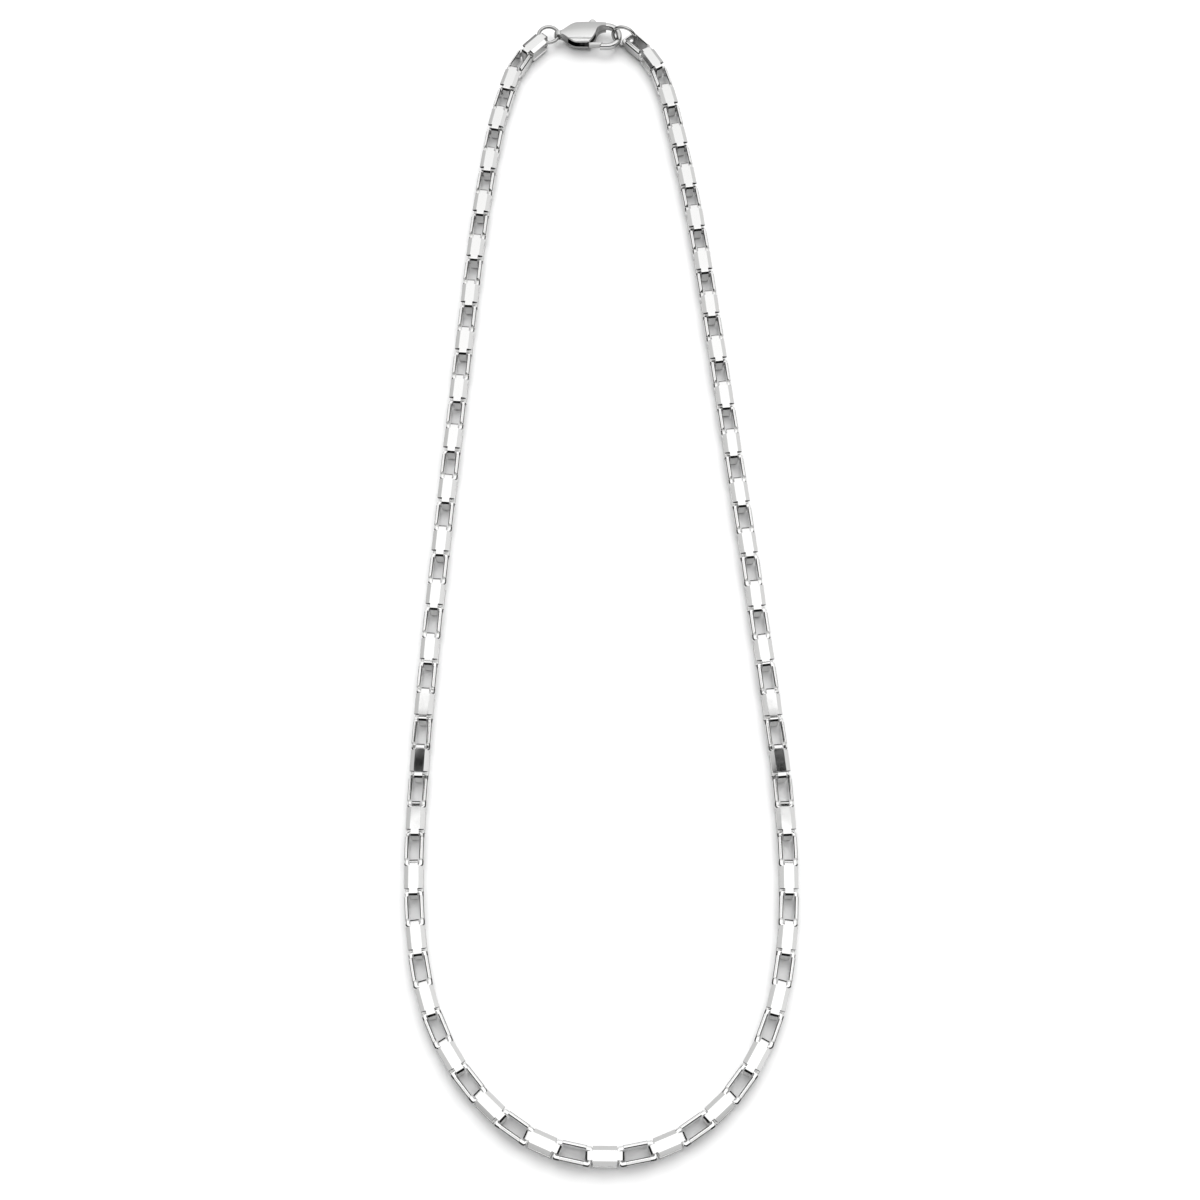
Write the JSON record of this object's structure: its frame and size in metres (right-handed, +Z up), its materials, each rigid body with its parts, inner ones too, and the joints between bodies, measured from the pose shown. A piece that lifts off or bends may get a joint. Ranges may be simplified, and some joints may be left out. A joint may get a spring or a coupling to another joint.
{
  "type": "box chain necklace",
  "caption": "Polished box chain necklace laid as a long closed loop, its hollow square links interlocked and its ends joined by jump rings and a lobster clasp.",
  "frame": {"origin": "centre of the necklace's outline, on the flat surface it lies on", "axes": "+X across the loop to the right, +Y along the loop from its lowest link to the clasp, +Z up from the surface"},
  "size_m": [0.0676, 0.2328, 0.0055],
  "materials": {
    "links": "polished",
    "rings": "polished",
    "clasp": "polished",
    "lever": "polished",
    "rivet": "polished"
  },
  "bodies": {
    "necklace": {"chain_left": "links", "chain_right": "links", "jump_ring_left": "rings", "jump_ring_right": "rings", "clasp_body": "clasp", "clasp_pin": "rivet"},
    "lever": {"clasp_lever": "lever"}
  },
  "joints": [
    {"name": "lever_hinge", "type": "hinge", "parent": "necklace", "child": "lever", "pos_m": [-0.00393, 0.11126, 0.00213], "axis": [0, 0, 1], "range_deg": [0, 25], "stiffness_Nm_per_rad": 0.002, "springref_deg": -17.19}
  ]
}
